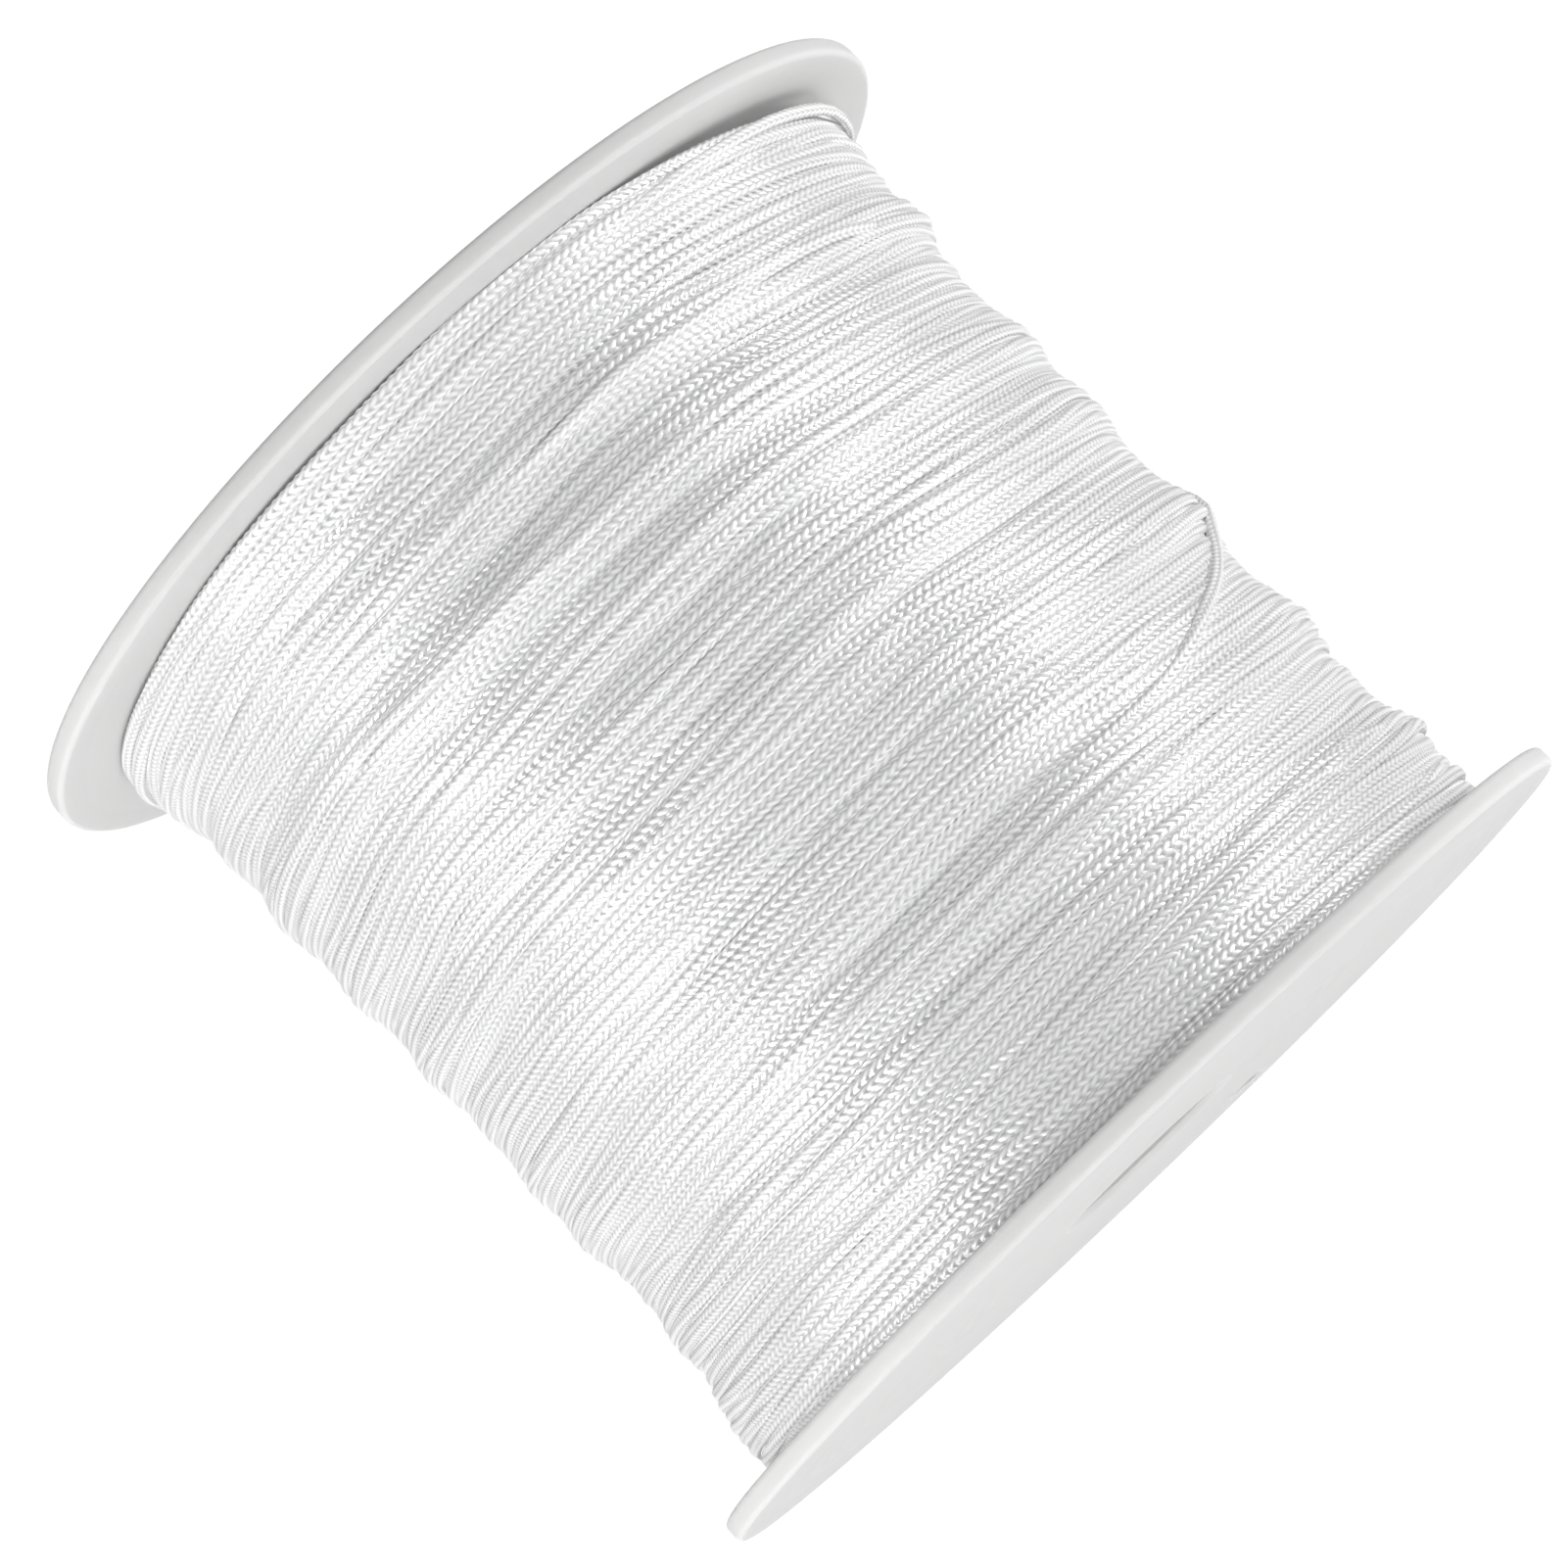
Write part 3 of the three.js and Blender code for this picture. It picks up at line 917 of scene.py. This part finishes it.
def flange_profile():
    """The lower flange's section, with its outer face at height 0."""
    rim = FLANGE_RADIUS - RIM_ROUND
    top = FLANGE_THICKNESS
    spigot_inside = SPIGOT_RADIUS - SPIGOT_WALL
    spigot_edge = top + SPIGOT_HEIGHT - EDGE_ROUND
    return (
        [(BORE_RADIUS, BORE_CHAMFER), (BORE_RADIUS + BORE_CHAMFER, 0)]
        + arc((rim, RIM_ROUND), RIM_ROUND, -90, 0)
        + arc((rim, top - RIM_ROUND), RIM_ROUND, 0, 90)
        + [(SPIGOT_RADIUS + FOOT_FILLET, top), (SPIGOT_RADIUS, top + FOOT_FILLET)]
        + arc((SPIGOT_RADIUS - EDGE_ROUND, spigot_edge), EDGE_ROUND, 0, 90, 3)
        + arc((spigot_inside + EDGE_ROUND, spigot_edge), EDGE_ROUND, 90, 180, 3)
        + [(spigot_inside, top + FOOT_FILLET), (spigot_inside - FOOT_FILLET, top)]
        + arc((BORE_RADIUS + EDGE_ROUND, top - EDGE_ROUND), EDGE_ROUND, 90, 180, 3)
    )


def barrel_profile():
    """The barrel's section, from flange to flange."""
    low = FLANGE_THICKNESS
    high = OVERALL_LENGTH - low
    inside = BARREL_RADIUS - BARREL_WALL
    return [(inside, high), (inside, low), (BARREL_RADIUS, low), (BARREL_RADIUS, high)]


def turned(name, profile):
    """A closed profile of (radius, height) turned round the axis, in metres."""
    count, segments = len(profile), SPOOL_SEGMENTS
    turn = np.arange(segments) * 2 * math.pi / segments
    rings = [on_reel(turn, np.full(segments, z), np.full(segments, r)) for r, z in profile]
    points = np.concatenate(rings)
    faces = []
    for i in range(count):
        j = (i + 1) % count
        for k in range(segments):
            n = (k + 1) % segments
            faces.append((i * segments + k, i * segments + n, j * segments + n, j * segments + k))
    mesh = bpy.data.meshes.new(name)
    mesh.from_pydata((points * MM).tolist(), [], faces)
    return link(bpy.data.objects.new(name, mesh))


def slot_cutter():
    """A prism with round ends, where the cord's first end passes through a flange."""
    half = SLOT_WIDTH / 2
    spare = 1  # past both faces of the flange
    inner, outer = BARREL_RADIUS + half, BARREL_RADIUS + SLOT_LENGTH - half
    outline = arc((outer, 0), half, -90, 90, 10) + arc((inner, 0), half, 90, 270, 10)
    count = len(outline)
    points = [(x, y, z) for z in (-spare, FLANGE_THICKNESS + spare) for x, y in outline]
    faces = [tuple(reversed(range(count))), tuple(range(count, 2 * count))]
    faces += [(i, (i + 1) % count, count + (i + 1) % count, count + i) for i in range(count)]
    mesh = bpy.data.meshes.new("slot_cutter")
    mesh.from_pydata((np.array(points) * MM).tolist(), [], faces)
    cutter = link(bpy.data.objects.new("slot_cutter", mesh))
    mesh.transform(Matrix.Rotation(math.radians(SLOT_TURN), 4, "Z"))
    return cutter


def smooth_shaded(piece, finish):
    """Shades a piece smooth, apart from its sharp edges, and gives it its finish."""
    piece.data.shade_smooth()
    piece.data.set_sharp_from_angle(angle=math.radians(SHARP_EDGE))
    piece.data.materials.clear()
    piece.data.materials.append(finish)
    return piece


def make_flange(name, upside_down):
    """A flange with its slot cut and the slot's edges softened: the lower one, or it turned over."""
    cutter = slot_cutter()
    disc = turned(name + "_disc", flange_profile())
    cut = disc.modifiers.new("slot", "BOOLEAN")
    cut.operation = "DIFFERENCE"
    cut.solver = "EXACT"
    cut.object = cutter
    softened = disc.modifiers.new("slot_edges", "BEVEL")
    softened.width = SLOT_EDGE_ROUND * MM
    softened.segments = 2
    softened.limit_method = "ANGLE"
    softened.angle_limit = math.radians(60)
    flange = plain_mesh(disc, name)
    bpy.data.objects.remove(cutter)
    if upside_down:
        # Half a turn about the slot's own line brings the outer face up and leaves the slot where it is.
        line = Vector((math.cos(math.radians(SLOT_TURN)), math.sin(math.radians(SLOT_TURN)), 0))
        over = Matrix.Rotation(math.pi, 4, line)
        flange.data.transform(Matrix.Translation((0, 0, OVERALL_LENGTH * MM)) @ over)
    return smooth_shaded(flange, spool_finish)


lower_flange = make_flange("lower_flange_moulding", False)
upper_flange = make_flange("upper_flange_moulding", True)
barrel_tube = smooth_shaded(turned("barrel_tube", barrel_profile()), spool_finish)


# ---- What each piece rides on and replaces ----
def belongs(piece, node):
    """Fixes a piece to the reel, and hides the solid that it dresses."""
    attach(piece, "root")
    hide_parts(node)


belongs(lower_flange, "lower_flange")
belongs(upper_flange, "upper_flange")
belongs(barrel_tube, "barrel")
for piece in top_turns:
    belongs(piece, "cord_outer_layer")
for piece in second_turns + third_turns + inner_turns:
    belongs(piece, "cord_pack")
belongs(crossing_strand, "crossing_strand")


# ---- The stage: floor, surroundings and lights ----
def emptied(shaded):
    """The node tree of a material or a world, without nodes."""
    shaded.use_nodes = True
    shaded.node_tree.nodes.clear()
    return shaded.node_tree


def make_floor():
    """A plain white floor that stays white in the picture and lights the reel a little less."""
    mesh = bpy.data.meshes.new("floor")
    ways = ((-1, -1), (1, -1), (1, 1), (-1, 1))
    corners = [(x * FLOOR_REACH, y * FLOOR_REACH, -FLOOR_DROP) for x, y in ways]
    mesh.from_pydata(corners, [], [(0, 1, 2, 3)])
    floor = link(bpy.data.objects.new("floor", mesh))
    material = bpy.data.materials.new("white_floor")
    tree = emptied(material)
    seen = add(tree, "ShaderNodeLightPath").outputs["Is Camera Ray"]
    strength = mapped(tree, seen, 0, 1, FLOOR_LIGHT, WHITE)
    glow = add(tree, "ShaderNodeEmission", {"Strength": strength})
    add(tree, "ShaderNodeOutputMaterial", {"Surface": glow.outputs[0]})
    mesh.materials.append(material)


def make_world():
    """White all round in the picture, and soft ambient light on the reel, mostly from behind it."""
    world = bpy.data.worlds.new("white_studio")
    bpy.context.scene.world = world
    tree = emptied(world)
    seen = add(tree, "ShaderNodeLightPath").outputs["Is Camera Ray"]
    direction = add(tree, "ShaderNodeTexCoord").outputs["Generated"]
    backwards = add(tree, "ShaderNodeSeparateXYZ", {0: direction}).outputs["Y"]
    ambient = mapped(
        tree,
        backwards,
        FRONT_ENDS,
        BACK_BEGINS,
        FRONT_LIGHT,
        AMBIENT_LIGHT,
        interpolation_type="SMOOTHSTEP",
    )
    strength = mapped(tree, seen, 0, 1, ambient, WHITE)
    glow = add(tree, "ShaderNodeBackground", {"Color": (1, 1, 1, 1), "Strength": strength})
    add(tree, "ShaderNodeOutputWorld", {"Surface": glow.outputs[0]})


def softbox(name, turn, elevation, width, tall, radiance):
    """A soft light at this turn and elevation round the reel's middle, turned towards it."""
    light = bpy.data.lights.new(name, "AREA")
    light.shape = "RECTANGLE"
    light.size = width
    light.size_y = tall
    light.energy = radiance * math.pi * width * tall
    lamp = link(bpy.data.objects.new(name, light))
    t, e = math.radians(turn), math.radians(elevation)
    way = Vector((math.cos(t) * math.cos(e), math.sin(t) * math.cos(e), math.sin(e)))
    lamp.location = Vector((0, 0, OVERALL_LENGTH / 2 * MM)) + way * SOFTBOX_AWAY
    lamp.rotation_euler = way.to_track_quat("Z", "Y").to_euler()
    lamp.visible_camera = False


bpy.context.scene.view_settings.view_transform = "Standard"
make_floor()
make_world()
for name, values in SOFTBOXES.items():
    softbox(name, *values)
